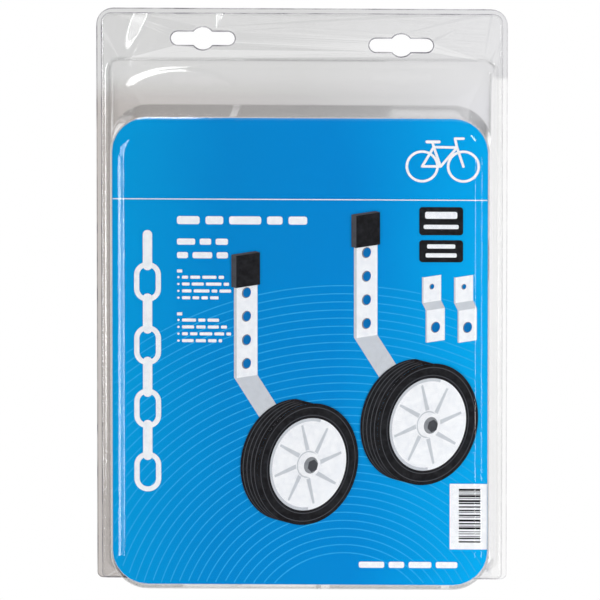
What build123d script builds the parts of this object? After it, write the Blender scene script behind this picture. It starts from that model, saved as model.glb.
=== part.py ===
"""Retail blister pack of bicycle training wheels.

A clear front dome and a clear shallow back tray meet at a flange with two hang slots. A printed card
stands behind the dome's front face. Behind it lie two wheels on their axle bolts, two bent legs with
end caps and two axle brackets, as they are packed before they are fitted to a bicycle.

Millimetres. +Z is up, the front faces -Y, and +X is to the right seen from the front. The origin is
midway between the two hang slots, on the plane where the two flanges meet.
"""

import os
from math import cos, radians, sin, sqrt, tan

from build123d import *

# Wheels and tyres
tyre_diameter = 120.0
tyre_width = 25.0
tyre_height = 11.0
tyre_shoulder = 3.4
tread_grooves = 4
groove_width = 2.6
groove_depth = 1.4
groove_spacing = 4.2
tyre_clearance = 0.05
rim_lip_height = 1.6
rim_lip_thickness = 1.8
rim_inset = 1.0
rim_thickness = 2.4
web_thickness = 2.6
web_dish = 4.0
hub_diameter = 24.0
hub_width = 26.0
ridge_count = 8
ridge_width_at_hub = 7.0
ridge_width_at_rim = 4.0
ridge_height_at_hub = 2.4
ridge_sunk_at_rim = 0.4

# Axle bolts, nuts and washers
bolt_diameter = 8.0
bolt_length = 45.0
bolt_head_height = 5.3
bolt_end_chamfer = 0.8
hexagon_flats = 13.0
nut_height = 6.5
washer_diameter = 16.0
washer_bore = 8.4
washer_thickness = 1.6
hub_running_clearance = 0.05
hub_end_play = 0.1
fastener_clearance = 0.05

# Legs and caps
leg_width = 25.0
leg_thickness = 4.0
leg_offset = 64.0
leg_rise = 56.0
leg_foot_length = 32.0
leg_upper_length = 116.0
leg_bend_radius = 10.0
leg_end_radius = 10.0
wheel_hole_diameter = 8.5
wheel_hole_from_end = 14.0
axle_hole_diameter = 10.5
axle_hole_count = 4
axle_hole_spacing = 21.0
axle_hole_from_tip = 31.0
cap_height = 18.0
cap_wall = 1.5
cap_clearance = 0.05
cap_edge_bevel = 0.8

# Brackets
bracket_length = 66.0
bracket_width = 22.0
bracket_thickness = 2.5
bracket_crank = 6.0
bracket_crank_from_end = 27.0
bracket_crank_run = 7.0
bracket_tab_length = 4.0
bracket_bend_radius = 3.0
bracket_end_radius = 6.0
bracket_axle_hole = 10.5
bracket_axle_hole_from_end = 13.0
bracket_small_hole = 4.5
bracket_small_hole_from_end = 9.0
bracket_spacing = 1.0

# Clear shells
sheet_thickness = 0.5
dome_half_width = 95.1
dome_headroom = 38.3
dome_foot_radius = 4.0
shoulder_depth = 33.0
shoulder_setback = 12.1
shoulder_lift = 2.4
shoulder_radius = 19.0
wall_draft_angle = 0.8
front_edge_radius = 8.5
step_width = 2.6
step_height = 2.0
tray_taper = 0.2
tray_edge_radius = 3.0
flange_side_margin = 8.0
flange_bottom_margin = 7.5
flange_above_slots = 17.2
slots_above_dome = 11.8
flange_top_radius = 8.5
flange_bottom_radius = 3.0
front_flange_inset = 2.3
front_flange_top_radius = 5.0

# Hang slots, whose right one sits a little lower than the left
slot_spacing = 99.4
slot_length = 32.0
slot_height = 7.0
slot_bump_diameter = 11.6
slot_half_skew = 1.6

# Card
card_thickness = 0.6
card_clearance = 0.25
card_cut_short = 1.25

# Gap left between packed pieces that rest against each other
packing_gap = 0.3
leg_to_tyre_gap = 1.5
leg_beside_lower_axle = 15.5
leg_beside_corner = 3.5
bracket_beside_leg = 6.0

# Depths along Y, from the parting plane to the front and to the back
tyre_radius = tyre_diameter / 2
wheel_y = -tyre_width / 2
hub_back = wheel_y + hub_width / 2
hub_front = wheel_y - hub_width / 2
head_underside = hub_back + hub_end_play + washer_thickness
head_end = head_underside + bolt_head_height
tray_depth = head_end + packing_gap + sheet_thickness
cap_depth = leg_width + 2 * (cap_wall + cap_clearance)
cap_back = -tyre_width - leg_to_tyre_gap
cap_front = cap_back - cap_depth
leg_y = (cap_back + cap_front) / 2
card_back = cap_front - packing_gap
card_front = card_back - card_thickness
front_depth = -card_front + front_edge_radius


def draft_at(depth):
    """How far the dome's walls have come in at a depth, by their draft past the shoulder."""
    return tan(radians(wall_draft_angle)) * max(depth - shoulder_depth, 0)


def lift_at(depth):
    """How far the dome's floor has risen at a depth in front of the parting plane."""
    return shoulder_lift * min(depth / shoulder_depth, 1) + draft_at(depth)


# Widths and heights: the wheels lean on each other between the side walls, and the dome clears them
axle_x = dome_half_width - draft_at(tyre_width) - sheet_thickness - packing_gap - tyre_radius
axle_rise = sqrt((tyre_diameter + packing_gap) ** 2 - (2 * axle_x) ** 2)
floor_lift_at_tyre = lift_at(tyre_width) + sheet_thickness + packing_gap
leg_height = leg_foot_length + leg_rise + leg_upper_length
dome_height = max(tyre_diameter + axle_rise, leg_height) + floor_lift_at_tyre + dome_headroom
dome_top = -slots_above_dome
dome_bottom = dome_top - dome_height
lower_axle_z = dome_bottom + floor_lift_at_tyre + tyre_radius
axles = {"left": (-axle_x, lower_axle_z), "right": (axle_x, lower_axle_z + axle_rise)}


def floor_at(depth):
    """Height of the dome's inner floor at a depth in front of the parting plane."""
    return dome_bottom + lift_at(depth) + sheet_thickness


# Rim, nut, leg and bracket places that follow from the sizes above
seat_radius = tyre_radius - tyre_height
lip_radius = seat_radius + rim_lip_height
rim_inner_radius = seat_radius - tyre_clearance - rim_thickness
nut_seat = hub_front - hub_end_play - washer_thickness
leg_front = -leg_y + leg_width / 2
leg_foot_z = floor_at(leg_front - leg_end_radius) + packing_gap
leg_tip_z = leg_foot_z + leg_height
slant_at_axle = leg_offset * (lower_axle_z - leg_foot_z - leg_foot_length) / leg_rise
leg_foot_x = {
    "left": -axle_x + leg_beside_lower_axle + slant_at_axle,
    "right": dome_half_width - shoulder_radius - leg_beside_corner,
}
bracket_depth = bracket_crank + bracket_tab_length + bracket_thickness
bracket_near_end = leg_foot_x["left"] - bracket_beside_leg - bracket_length
bracket_places = {
    "left": (bracket_near_end, card_back + packing_gap),
    "right": (bracket_near_end, card_back + packing_gap + bracket_depth + bracket_spacing),
}


def dome_outline(depth, corner_radius, inset, short=0):
    """Draw the dome's rounded outline at a depth, made smaller by an inset and cut short at its foot."""
    half_width = dome_half_width - draft_at(depth) - inset
    top = dome_top - shoulder_setback * min(depth / shoulder_depth, 1) - draft_at(depth) - inset
    bottom = dome_bottom + lift_at(depth) + inset + short
    with Locations((0, (top + bottom) / 2)):
        RectangleRounded(2 * half_width, top - bottom, corner_radius - draft_at(depth) - inset)


def step_outline(inset):
    """Draw the outline of the step round the dome's foot, made smaller by an inset."""
    grow = step_width - inset
    with Locations((0, (dome_top + dome_bottom) / 2)):
        RectangleRounded(2 * (dome_half_width + grow), dome_height + 2 * grow, dome_foot_radius + grow)


def flange_outline(sketch, inset, top_radius):
    """Draw a flange in an open sketch, set in at its sides and top, with both hang slots cut out."""
    half_width = dome_half_width + flange_side_margin - inset
    top = flange_above_slots - inset
    bottom = dome_bottom - flange_bottom_margin
    with Locations((0, (top + bottom) / 2)):
        Rectangle(2 * half_width, top - bottom)
    fillet(sketch.vertices().group_by(Axis.Y)[-1], top_radius)
    fillet(sketch.vertices().group_by(Axis.Y)[0], flange_bottom_radius)
    for side in (-1, 1):
        with Locations((side * slot_spacing / 2, -side * slot_half_skew)):
            SlotOverall(slot_length, slot_height, mode=Mode.SUBTRACT)
            Circle(slot_bump_diameter / 2, mode=Mode.SUBTRACT)


def front_plane(depth):
    """Plane parallel to the card, a depth in front of the parting plane, drawn with X right and Z up."""
    return Plane(origin=(0, -depth, 0), x_dir=(1, 0, 0), z_dir=(0, -1, 0))


def axle_plane(side, y):
    """Plane square to a wheel's axle at a place along Y, facing the back."""
    x, z = axles[side]
    return Plane(origin=(x, y, z), x_dir=(-1, 0, 0), z_dir=(0, 1, 0))


def radial_plane(side):
    """Plane through a wheel's axle, drawn with the radius along X and the width along Y."""
    x, z = axles[side]
    return Plane(origin=(x, wheel_y, z), x_dir=(1, 0, 0), z_dir=(0, 0, 1))


def ridge_plane(side, angle, radius, height):
    """Plane square to a wheel's radius, drawn with the width of the wheel upwards."""
    x, z = axles[side]
    outward = (cos(radians(angle)), 0, sin(radians(angle)))
    origin = (x + radius * outward[0], wheel_y + height, z + radius * outward[2])
    return Plane(origin=origin, x_dir=(outward[2], 0, -outward[0]), z_dir=outward)


def axle_axis(side):
    """Axis that a wheel turns about."""
    x, z = axles[side]
    return Axis((x, 0, z), (0, 1, 0))


def dome_block(inset):
    """Solid dome on its step: the outside with no inset, and the space within with the sheet's thickness."""
    with BuildPart() as block:
        with BuildSketch(front_plane(step_height - inset)):
            dome_outline(step_height, dome_foot_radius, inset)
        with BuildSketch(front_plane(shoulder_depth)):
            dome_outline(shoulder_depth, shoulder_radius, inset)
        loft(ruled=True)
        with BuildSketch(front_plane(shoulder_depth)):
            dome_outline(shoulder_depth, shoulder_radius, inset)
        extrude(amount=front_depth - inset - shoulder_depth, taper=wall_draft_angle)
        fillet(block.faces().sort_by(Axis.Y)[0].edges(), front_edge_radius - inset)
        with BuildSketch(front_plane(0)):
            step_outline(inset)
        extrude(amount=step_height - inset)
    return block.part


def tray_block(inset):
    """Solid shallow tray: the outside with no inset, and the space within with the sheet's thickness."""
    depth = tray_depth - inset
    with BuildPart() as block:
        with BuildSketch(front_plane(0)):
            step_outline(inset)
        with BuildSketch(front_plane(-depth)):
            step_outline(inset + tray_taper * depth)
        loft(ruled=True)
        fillet(block.faces().sort_by(Axis.Y)[-1].edges(), tray_edge_radius - inset)
    return block.part


os.makedirs("parts", exist_ok=True)


def save(piece, name):
    """Label a finished piece and write it."""
    piece.part.label = name
    export_step(piece.part, f"parts/{name}.step")


# Front dome with its step and flange
with BuildPart() as front_shell:
    with BuildSketch(front_plane(0)) as front_flange:
        flange_outline(front_flange, front_flange_inset, front_flange_top_radius)
    extrude(amount=sheet_thickness)
    add(dome_block(0))
    add(dome_block(sheet_thickness), mode=Mode.SUBTRACT)
save(front_shell, "front_shell")

# Back tray with its flange
with BuildPart() as back_shell:
    with BuildSketch(front_plane(0)) as back_flange:
        flange_outline(back_flange, 0, flange_top_radius)
    extrude(amount=-sheet_thickness)
    add(tray_block(0))
    add(tray_block(sheet_thickness), mode=Mode.SUBTRACT)
save(back_shell, "back_shell")

# Printed card
with BuildPart() as printed_card:
    with BuildSketch(front_plane(-card_back)):
        dome_outline(-card_front, shoulder_radius, sheet_thickness + card_clearance, card_cut_short)
    extrude(amount=card_thickness)
save(printed_card, "printed_card")

for side in axles:
    # Wheel: hub, dished web, rim with two lips, and ridges that run out from the hub
    bore_radius = bolt_diameter / 2 + hub_running_clearance
    rim_half_width = tyre_width / 2 - rim_inset
    hub_radius = hub_diameter / 2
    web_at_hub = rim_half_width - web_dish
    ridge_root = (bore_radius + hub_radius) / 2
    web_slope = web_dish / (rim_inner_radius - hub_radius)
    web_at_root = web_at_hub - web_slope * (hub_radius - ridge_root)
    with BuildPart() as wheel:
        with BuildSketch(radial_plane(side)):
            with Locations(((bore_radius + hub_radius) / 2, 0)):
                Rectangle(hub_radius - bore_radius, hub_width)
            with Locations((seat_radius - tyre_clearance - rim_thickness / 2, 0)):
                Rectangle(rim_thickness, 2 * rim_half_width)
            for end in (-1, 1):
                with Locations((rim_inner_radius, end * (rim_half_width - rim_lip_thickness / 2))):
                    Rectangle(
                        lip_radius - rim_inner_radius, rim_lip_thickness, align=(Align.MIN, Align.CENTER)
                    )
            with BuildLine():
                Polyline(
                    (hub_radius, web_at_hub),
                    (rim_inner_radius, rim_half_width),
                    (rim_inner_radius, rim_half_width - web_thickness),
                    (hub_radius, web_at_hub - web_thickness),
                    close=True,
                )
            make_face()
        revolve(axis=axle_axis(side))
        for number in range(ridge_count):
            angle = 360 * number / ridge_count
            for radius, height, width, rise in (
                (ridge_root, web_at_root, ridge_width_at_hub, ridge_height_at_hub),
                (rim_inner_radius + rim_thickness / 2, rim_half_width, ridge_width_at_rim, -ridge_sunk_at_rim),
            ):
                with BuildSketch(ridge_plane(side, angle, radius, height)):
                    with BuildLine():
                        Polyline(
                            (-width / 2, -web_thickness / 2),
                            (0, rise),
                            (width / 2, -web_thickness / 2),
                            close=True,
                        )
                    make_face()
            loft(ruled=True)
    save(wheel, f"{side}_wheel")

    # Tyre: a foot between the rim's lips, bevelled shoulders and grooves round the tread
    with BuildPart() as tyre:
        with BuildSketch(radial_plane(side)) as section:
            with Locations((lip_radius + tyre_clearance, 0)):
                Rectangle(
                    tyre_radius - lip_radius - tyre_clearance, tyre_width, align=(Align.MIN, Align.CENTER)
                )
            chamfer(section.vertices().group_by(Axis.X)[-1], tyre_shoulder)
            with Locations((seat_radius, 0)):
                Rectangle(
                    tyre_height / 2,
                    2 * (rim_half_width - rim_lip_thickness - tyre_clearance),
                    align=(Align.MIN, Align.CENTER),
                )
            with Locations((tyre_radius, 0)):
                with GridLocations(1, groove_spacing, 1, tread_grooves):
                    Polygon(
                        (0, groove_width / 2),
                        (-groove_depth, 0),
                        (0, -groove_width / 2),
                        align=None,
                        mode=Mode.SUBTRACT,
                    )
        revolve(axis=axle_axis(side))
    save(tyre, f"{side}_tyre")

    # Axle bolt, with its head to the back
    with BuildPart() as axle_bolt:
        with BuildSketch(axle_plane(side, head_underside)):
            RegularPolygon(hexagon_flats / 2, 6, major_radius=False)
        extrude(amount=bolt_head_height)
        with BuildSketch(axle_plane(side, head_underside)):
            Circle(bolt_diameter / 2)
        extrude(amount=-bolt_length)
        chamfer(axle_bolt.edges().sort_by(Axis.Y)[0], bolt_end_chamfer)
    save(axle_bolt, f"{side}_axle_bolt")

    # Washers at both ends of the hub
    for name, seat in (("head_washer", hub_back + hub_end_play), ("nut_washer", nut_seat)):
        with BuildPart() as washer:
            with BuildSketch(axle_plane(side, seat)):
                Circle(washer_diameter / 2)
                Circle(washer_bore / 2, mode=Mode.SUBTRACT)
            extrude(amount=washer_thickness)
        save(washer, f"{side}_{name}")

    # Nut, run down to its washer
    with BuildPart() as axle_nut:
        with BuildSketch(axle_plane(side, nut_seat)):
            RegularPolygon(hexagon_flats / 2, 6, major_radius=False)
            Circle(bolt_diameter / 2 + fastener_clearance, mode=Mode.SUBTRACT)
        extrude(amount=-nut_height)
    save(axle_nut, f"{side}_axle_nut")

    # Leg: a flat strip on edge, bent twice, with axle holes up its long end
    foot_x = leg_foot_x[side]
    upper_x = foot_x - leg_offset
    with BuildPart() as leg:
        with BuildSketch(front_plane(-leg_y)):
            with BuildLine():
                FilletPolyline(
                    (foot_x, leg_foot_z),
                    (foot_x, leg_foot_z + leg_foot_length),
                    (upper_x, leg_tip_z - leg_upper_length),
                    (upper_x, leg_tip_z),
                    radius=leg_bend_radius,
                )
            trace(line_width=leg_thickness)
        extrude(amount=leg_width / 2, both=True)
        fillet(leg.edges().filter_by(Axis.X).group_by(Axis.Z)[0], leg_end_radius)
        with BuildSketch(Plane(origin=(foot_x, leg_y, leg_foot_z), x_dir=(0, 1, 0), z_dir=(1, 0, 0))):
            with Locations((0, wheel_hole_from_end)):
                Circle(wheel_hole_diameter / 2)
        extrude(amount=leg_thickness, both=True, mode=Mode.SUBTRACT)
        with BuildSketch(Plane(origin=(upper_x, leg_y, leg_tip_z), x_dir=(0, 1, 0), z_dir=(1, 0, 0))):
            for number in range(axle_hole_count):
                with Locations((0, -axle_hole_from_tip - number * axle_hole_spacing)):
                    Circle(axle_hole_diameter / 2)
        extrude(amount=leg_thickness, both=True, mode=Mode.SUBTRACT)
    save(leg, f"{side}_leg")

    # Cap pushed over the leg's upper end
    with BuildPart() as leg_cap:
        cap_top = leg_tip_z + cap_clearance + cap_wall
        with BuildSketch(Plane.XY.offset(cap_top - cap_height)):
            with Locations((upper_x, leg_y)):
                Rectangle(leg_thickness + 2 * (cap_wall + cap_clearance), cap_depth)
        extrude(amount=cap_height)
        chamfer(leg_cap.edges().filter_by(Axis.Z), cap_edge_bevel)
        chamfer(leg_cap.faces().sort_by(Axis.Z)[-1].edges(), cap_edge_bevel)
        with BuildSketch(Plane.XY.offset(cap_top - cap_height)):
            with Locations((upper_x, leg_y)):
                Rectangle(leg_thickness + 2 * cap_clearance, leg_width + 2 * cap_clearance)
        extrude(amount=cap_height - cap_wall, mode=Mode.SUBTRACT)
    save(leg_cap, f"{side}_leg_cap")

    # Bracket: a cranked strip on its long edge, with a tab at its far end
    near_end, bracket_front = bracket_places[side]
    far_end = near_end + bracket_length
    bracket_z = floor_at(-bracket_front) + packing_gap
    flat_front = bracket_front + bracket_thickness / 2
    flat_back = flat_front + bracket_crank
    with BuildPart() as bracket:
        with BuildSketch(Plane.XY.offset(bracket_z)):
            with BuildLine():
                FilletPolyline(
                    (near_end, flat_front),
                    (near_end + bracket_crank_from_end, flat_front),
                    (near_end + bracket_crank_from_end + bracket_crank_run, flat_back),
                    (far_end, flat_back),
                    (far_end, flat_back + bracket_tab_length),
                    radius=bracket_bend_radius,
                )
            trace(line_width=bracket_thickness)
        extrude(amount=bracket_width)
        fillet(bracket.edges().filter_by(Axis.Y).group_by(Axis.X)[0], bracket_end_radius)
        with BuildSketch(Plane(origin=(0, flat_front, bracket_z), x_dir=(1, 0, 0), z_dir=(0, -1, 0))):
            with Locations((near_end + bracket_axle_hole_from_end, bracket_width / 2)):
                Circle(bracket_axle_hole / 2)
            with Locations((far_end - bracket_small_hole_from_end, bracket_width / 2)):
                Circle(bracket_small_hole / 2)
        extrude(amount=bracket_crank + bracket_thickness, both=True, mode=Mode.SUBTRACT)
    save(bracket, f"{side}_bracket")
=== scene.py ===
"""Looks of the retail blister pack of bicycle training wheels.

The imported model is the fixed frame. This script gives its solids their finishes, prints the card with flat
ink pieces, lines the cut edges of the clear sheets, and sets the camera, the studio light and the floor.
Metres, +Z up, the front faces -Y. Named sizes are in millimetres, except for the floor, lamps and camera.
"""

import math
import random

import bpy
from mathutils import Matrix, Vector


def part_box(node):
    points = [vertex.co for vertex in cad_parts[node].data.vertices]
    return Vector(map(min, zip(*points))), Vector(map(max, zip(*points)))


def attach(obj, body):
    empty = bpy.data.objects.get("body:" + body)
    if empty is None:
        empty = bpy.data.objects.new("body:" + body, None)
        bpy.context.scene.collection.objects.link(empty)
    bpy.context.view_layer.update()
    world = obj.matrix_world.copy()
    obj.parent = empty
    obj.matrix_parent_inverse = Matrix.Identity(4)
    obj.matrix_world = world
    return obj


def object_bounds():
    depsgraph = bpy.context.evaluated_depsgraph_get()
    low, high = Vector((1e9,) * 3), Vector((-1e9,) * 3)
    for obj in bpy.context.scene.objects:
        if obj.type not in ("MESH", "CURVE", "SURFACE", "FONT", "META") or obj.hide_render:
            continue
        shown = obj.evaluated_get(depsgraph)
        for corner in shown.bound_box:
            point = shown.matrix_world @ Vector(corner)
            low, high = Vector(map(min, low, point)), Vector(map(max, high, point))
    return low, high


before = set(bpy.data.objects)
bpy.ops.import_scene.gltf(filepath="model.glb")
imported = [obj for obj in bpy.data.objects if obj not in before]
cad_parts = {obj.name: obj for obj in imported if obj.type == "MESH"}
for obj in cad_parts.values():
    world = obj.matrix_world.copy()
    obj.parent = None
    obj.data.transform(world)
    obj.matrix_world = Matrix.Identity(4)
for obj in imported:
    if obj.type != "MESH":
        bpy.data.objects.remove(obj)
cad_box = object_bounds()
scene = bpy.context.scene

MM = 0.001
seeded = random.Random(7)

# Places of the card and the flanges, from the frame
card_low, card_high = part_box("printed_card")
back_low, back_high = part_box("back_shell")
front_low, front_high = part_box("front_shell")
card_half_width = card_high.x / MM
card_top = card_high.z / MM
card_bottom = card_low.z / MM

# Sizes of the solids that the print and the edge lines follow
card_corner_radius = 17.9
sheet_thickness = 0.5
back_corner_radii = (3.0, 8.5)
front_corner_radii = (3.0, 5.0)
slot_spacing = 99.4
slot_length = 32.0
slot_height = 7.0
slot_bump_diameter = 11.6
slot_half_skew = 1.6
step_half_width = 97.7
step_top = -9.2
step_bottom = -274.1
step_corner_radius = 6.6
foot_fillet_radius = 1.2
lip_radius = 0.5
lip_from_edge = 1.0
bolt_thread_pitch = 1.25

# Count of faces along round shapes
corner_steps = 6
slot_arc_steps = 12
ripple_steps = 150
dot_steps = 12
line_end_steps = 16
link_end_steps = 24
drawn_circle_steps = 72
drawn_hole_steps = 36
floor_steps = 96

# Ink lies in layers, thicker than real ones so that they stay apart in the render
ink_layer = 0.1
shape_rise = 0.003

# Depth of the card's printed skin
print_depth = 0.05

# Edge lines are as wide as a cut edge looks through the sheet, and fade between two places at the right
edge_line_width = 0.5
edge_fade_start = 88.0
edge_fade_end = 100.0
card_bare_edge = 0.12

# Heights between which painted shade deepens the sheets' tints below the shoulder, sooner in a strip at the
# right edge that painted light clears. The strip sets in between two shares of the pack's width.
painted_shade_change_top = -17.0
painted_shade_change_bottom = -37.0
painted_light_change_bottom_in_strip = -20.0
painted_light_strip_start = 0.955
painted_light_strip_full = 0.965

# Swells that handling left in the front sheet, by place, half width, half height, lean in degrees, the share
# that is level on top, and rise
sheet_swells = (
    (-76.0, 0.0, 13.0, 10.0, 32.0, 24, 0.0, 2.4),
    (-39.0, 0.0, 14.0, 4.5, 13.0, 10, 0.0, 1.05),
    (-60.0, -27.3, -21.7, 32.6, 9.7, 0, 0.8, 0.6),
)

# Ripples that spread over the lower half of the card
ripple_centre = (22.0, -296.0)
ripple_first_radius = 46.0
ripple_spacing = 4.2
ripple_width = 0.56
ripple_count = 34
ripple_from_edge = 0.5

# Rule and lines of words, the lines by left end, right end, foot and height
rule_height = -67.0
rule_width = 0.5
rule_corner_radius = 0.2
rule_from_edge = 0.4
text_left = -61.5
head_lines = ((text_left, 3.6, -80.0, 4.2), (text_left, -36.0, -90.6, 3.2), (text_left, -36.0, -97.6, 3.2))
foot_line = (29.5, 79.0, -257.8, 3.2)

# Shortest and longest word, gap and corner radius, as shares of the line's height
word_shortest = 1.6
word_longest = 5.0
word_gap = 0.7
word_corner = 0.3

# Two lists of words, with a mark above each and a dot before each line
list_first_feet = (-108.2, -130.4)
list_right_ends = (-38.0, -35.5, -34.5, -39.0)
list_indent = 2.5
list_line_height = 1.6
list_line_spacing = 3.55
list_mark_width = 2.6
list_mark_rise = 3.2
list_mark_corner_radius = 0.3
list_dot_inset = 0.7
list_dot_radius = 0.6

# Column of chain links, by turns seen flat and seen on edge
chain_x = -76.25
chain_foot = -216.5
link_count = 8
link_pitch = 16.4
link_outer_radius = 6.7
link_inner_radius = 4.1
link_end_inset = 4.6
edge_link_width = 4.7
edge_link_overlap = 2.2
edge_link_corner_radius = 2.3

# Bicycle sign
sign_rear_hub = (61.0, -49.6)
sign_front_hub = (81.6, -49.6)
sign_crank = (70.2, -49.6)
sign_seat_joint = (66.8, -39.6)
sign_seat_top = (66.2, -37.4)
sign_saddle = ((63.4, -36.9), (69.4, -36.9))
sign_head = (78.4, -39.8)
sign_handlebar = ((77.4, -35.2), (81.6, -35.2))
sign_wheel_radii = (8.3, 7.0)
sign_line_width = 1.3
sign_saddle_width = 1.6

# Labels and the lines on them, by left, bottom, right, top and corner radius
label_boxes = ((59.6, -85.1, 81.5, -70.6, 1.6), (59.6, -99.1, 81.5, -87.7, 1.6))
label_lines = (
    (62.5, -76.6, 78.6, -73.0, 1.0), (61.8, -81.9, 79.3, -79.7, 0.7),
    (63.5, -92.0, 77.6, -89.8, 0.7), (62.8, -96.6, 78.3, -94.4, 0.7),
)

# Striped code and its patch
code_left = 75.0
code_bottom = -248.0
code_top = -213.9
code_from_edge = 0.3
code_corner_radius = 0.3
stripe_left = 79.6
stripe_right = 90.4
stripe_corner_radius = 0.05
stripes_bottom = -244.4
stripes_top = -217.4
stripe_widths = (0.35, 0.35, 0.7, 1.05)
stripe_gaps = (0.4, 0.4, 0.75, 1.1)

# Drawing of the training wheels, turned and seen a little from above
picture_turn = math.radians(38)
picture_fall = math.radians(12)
drawn_hubs = ((4.0, -204.0), (64.0, -183.0))
drawn_radius = 32.0
drawn_tyre_width = 14.0
drawn_groove_width = 0.7
drawn_hub_radius = 6.4
drawn_hub_shade_radius = 7.1
drawn_leg_half_width = 6.6
drawn_leg_thickness = 2.2
drawn_leg_gap = 1.5
drawn_leg_crank = 34.0
drawn_leg_heights = (-7.0, 9.0, 38.0, 94.0)
drawn_hole_count = 4
drawn_hole_first = 45.0
drawn_hole_spacing = 12.5
drawn_hole_radius = 2.5
drawn_hole_rim = 0.4
drawn_cap_wall = 0.9
drawn_cap_foot = 86.0
drawn_cap_top = 103.0

# Shares of the drawn tyre's width and radius where its grooves, its wall's lines, the wheel and its rim lie
drawn_groove_shares = (0.16, 0.38, 0.60, 0.82)
drawn_wall_line_shares = ((0.93, 0.945), (0.80, 0.815))
drawn_wheel_share = 0.76
drawn_rim_share = 0.71

# Arcs of the drawn wheel that show at its left, by start and sweep in degrees and count of faces
drawn_tread_arc = (84, 192, 48)
drawn_groove_arc = (93, 176, 48)
drawn_rim_arc = (70, 200, 48)

# Ridges of the drawn wheel, their corners by reach from the axle and offset to the side
drawn_ridge_count = 8
drawn_ridge_start = 12
drawn_ridge_corners = ((7.4, 0.2), (21.5, 0.2), (21.5, 1.5), (7.4, 2.6))

# Hub, washer and nut of the drawn wheel, by radius, place out, angle of the first corner and count of corners
drawn_fittings = {
    "hubs": (drawn_hub_radius, 2.0, 0, drawn_circle_steps), "washers": (4.4, 2.4, 0, drawn_circle_steps),
    "nuts": (3.4, 4.0, 15, 6),
}

# Drawn brackets: their runs by place out and up, and their holes by place out and up and radius
drawn_bracket_feet = ((68.0, -140.0), (84.0, -140.0))
drawn_bracket_runs = ((0.0, 0.0), (0.0, 17.0), (-3.0, 20.5), (-3.0, 34.0))
drawn_bracket_half_width = 5.6
drawn_bracket_thickness = 1.2
drawn_bracket_holes = ((0.0, 7.5, 2.6), (-3.0, 28.5, 1.2))
drawn_bracket_hole_rim = 0.3

# Floor, in metres
floor_height = -0.42
floor_radius = 0.45

# Where upright lamps stand, by distance and by lowest and highest place, in metres
near_stand = (1.5, -0.65, -0.37)
near_high_stand = (1.45, -0.37, 0.1)
far_stand = (6.0, -1.92, -1.6)
far_low_stand = (6.0, -1.92, -1.79)
far_middle_stand = (6.0, -1.79, -1.6)
far_tall_stand = (6.0, -1.79, 0.3)

# Backdrop: the way to its middle, the cosines of the angles from there between which it fades, and the light
backdrop_way = (-0.2, 0.945, -0.259)
backdrop_end = 0.89
backdrop_full = 0.95
room_grey = "#1C1C1C"
room_light = 0.57

# Camera, in metres and degrees, with its lens in millimetres
camera_azimuth = 1.05
camera_elevation = 15
camera_distance = 11.88
camera_target_height = -0.119
camera_lens = 1425.6
camera_sensor_width = 36
camera_reach = 50

# Clear faces that a ray may pass
clear_face_limit = 32


# Nodes and colours

def linear(code):
    """Turn an sRGB hex colour into linear light."""
    values = [int(code[place:place + 2], 16) / 255 for place in (1, 3, 5)]
    lit = [value / 12.92 if value <= 0.04045 else ((value + 0.055) / 1.055) ** 2.4 for value in values]
    return (*lit, 1.0)


def add(tree, kind, inputs=None, stops=(), **settings):
    """Add a node with its settings, a ramp's colour stops, and a constant or a link for each named input."""
    made = tree.nodes.new(kind)
    for name, value in settings.items():
        setattr(made, name, value)
    for number, (place, colour) in enumerate(stops):
        elements = made.color_ramp.elements
        stop = elements[number] if number < 2 else elements.new(place)
        stop.position = place
        stop.color = linear(colour)
    for name, value in (inputs or {}).items():
        if isinstance(value, bpy.types.Node):
            value = value.outputs[0]
        if isinstance(value, bpy.types.NodeSocket):
            tree.links.new(value, made.inputs[name])
        else:
            made.inputs[name].default_value = value
    return made


def new_material(name):
    """Start a material with an empty node tree, and give the place on the object that its patterns follow."""
    material = bpy.data.materials.new(name)
    material.use_nodes = True
    tree = material.node_tree
    tree.nodes.clear()
    return material, tree, add(tree, "ShaderNodeTexCoord").outputs["Object"]


# Materials

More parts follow.
